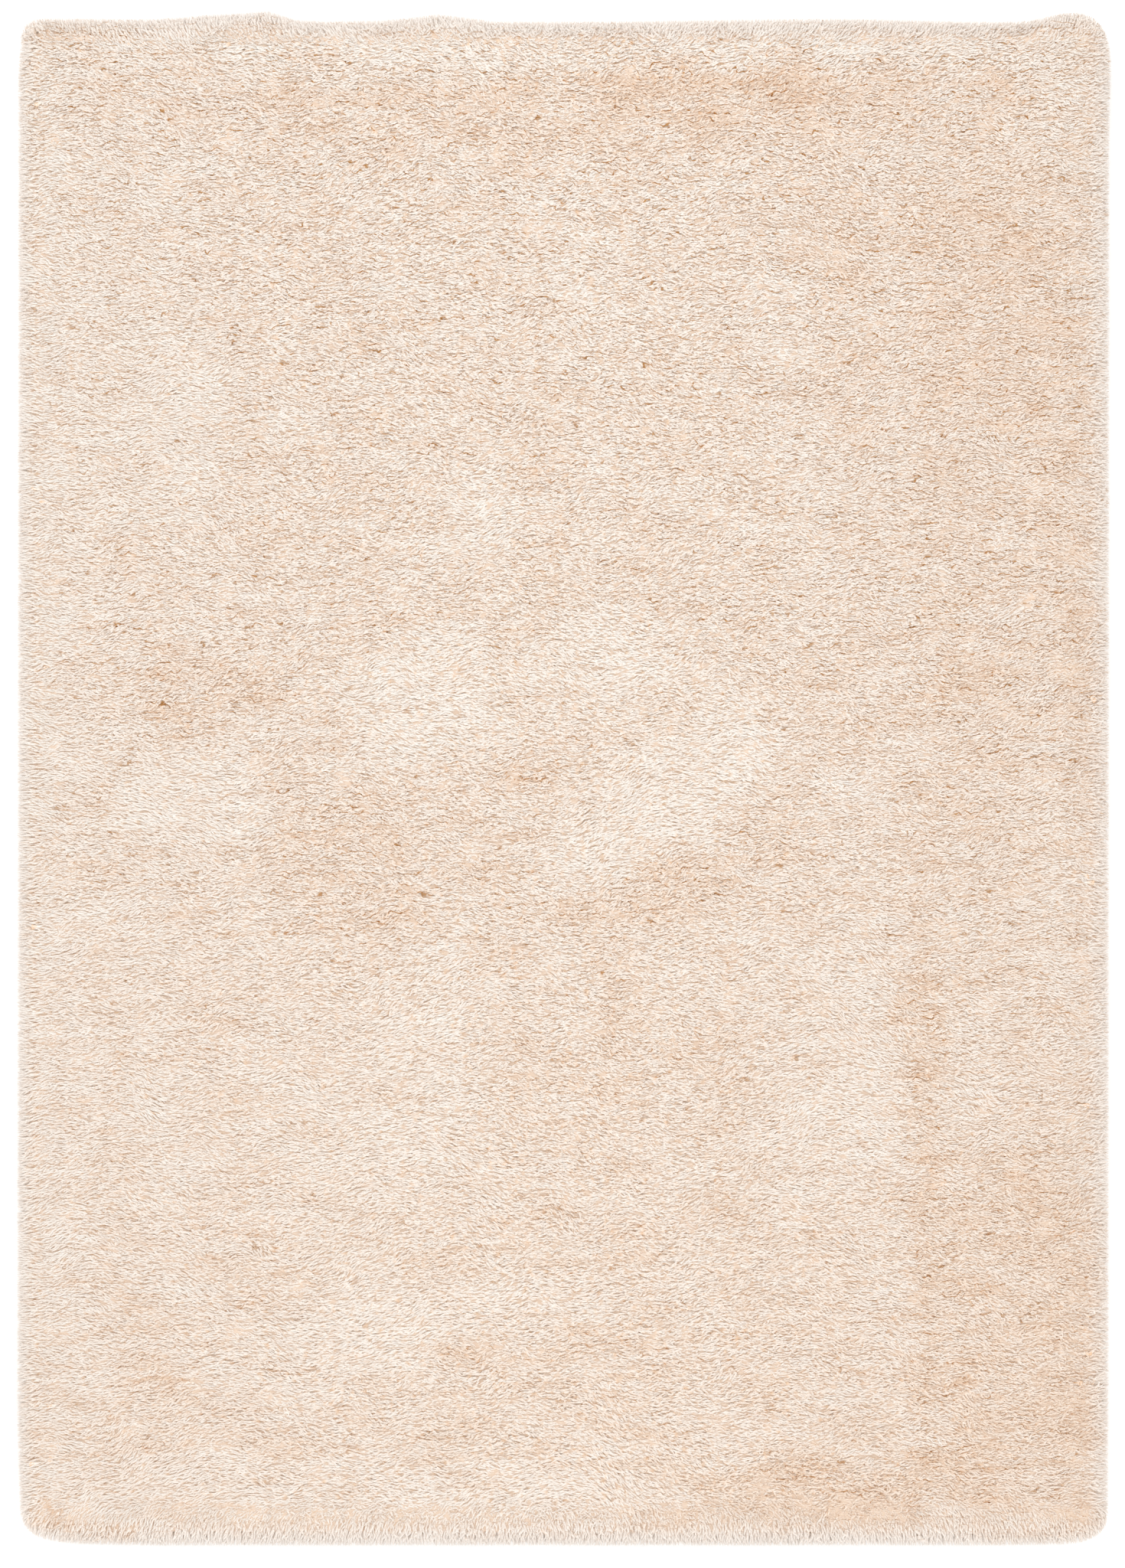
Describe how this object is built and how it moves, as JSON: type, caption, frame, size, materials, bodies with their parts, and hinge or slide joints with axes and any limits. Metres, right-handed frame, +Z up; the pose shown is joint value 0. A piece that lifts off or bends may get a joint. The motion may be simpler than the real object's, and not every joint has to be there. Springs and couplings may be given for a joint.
{
  "type": "shag rug",
  "caption": "Rectangular shag rug with a deep, soft cream pile, slightly wavy edges and rounded corners, lying flat on the floor.",
  "frame": {"origin": "on the floor, under the middle of the rug's bounding box", "axes": "+Z up from the floor, +Y along the rug towards the end that is at the top of the picture, +X across it to the right"},
  "size_m": [1.5266, 2.1436, 0.0397],
  "materials": {
    "pile": "matt cream shag yarn, 3 to 4 cm deep",
    "ground_cloth": "plain woven cloth on the underside"
  },
  "bodies": {
    "root": {"rug": "pile"}
  },
  "joints": []
}
